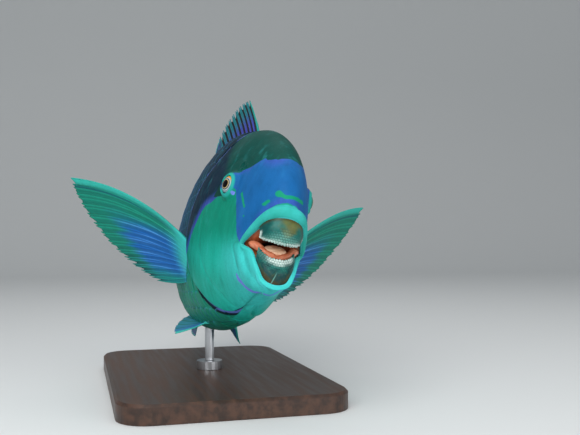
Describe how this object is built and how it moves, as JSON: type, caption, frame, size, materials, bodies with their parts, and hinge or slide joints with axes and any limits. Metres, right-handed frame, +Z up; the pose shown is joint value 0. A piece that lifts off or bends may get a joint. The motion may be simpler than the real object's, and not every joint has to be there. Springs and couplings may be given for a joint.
{
  "type": "parrotfish",
  "caption": "Life-size blue-green parrotfish with an open beak, spread pectoral fins and a raised dorsal fin, posed swimming on a plain display stand.",
  "frame": {"origin": "centre of the stand's base on its underside, under the point of the belly that the rod holds", "axes": "+Z up; the snout points along -Y with the nose lifted a little; +X is the fish's left side"},
  "size_m": [0.2575, 0.5014, 0.2449],
  "materials": {
    "skin": "wet scaled skin, blue-green with blue and violet markings",
    "lips": "smooth wet turquoise skin",
    "beak": "fused pebbly teeth, dark blue-green with a white cutting edge",
    "mouth_flesh": "wet orange-brown flesh",
    "eyes": "glossy, gold and silver iris round a black pupil",
    "fins": "thin wet fin skin over rays, blue-green edges round a blue middle",
    "stand_wood": "dark satin wood",
    "stand_steel": "satin steel"
  },
  "bodies": {
    "root": {"head": "skin", "gill_cover_left": "skin", "gill_cover_right": "skin", "torso": "skin", "tail_base": "skin", "upper_lip": "lips", "lower_lip": "lips", "upper_beak": "beak", "lower_beak": "beak", "mouth_lining": "mouth_flesh", "tongue": "mouth_flesh", "eye_left": "eyes", "eye_right": "eyes", "pectoral_fin_left": "fins", "pectoral_fin_right": "fins", "pelvic_fin_left": "fins", "pelvic_fin_right": "fins", "dorsal_fin_spiny": "fins", "dorsal_fin_soft": "fins", "anal_fin": "fins", "tail_fin_upper": "fins", "tail_fin_lower": "fins", "stand_base": "stand_wood", "stand_ferrule": "stand_steel", "stand_rod": "stand_steel"}
  },
  "joints": []
}
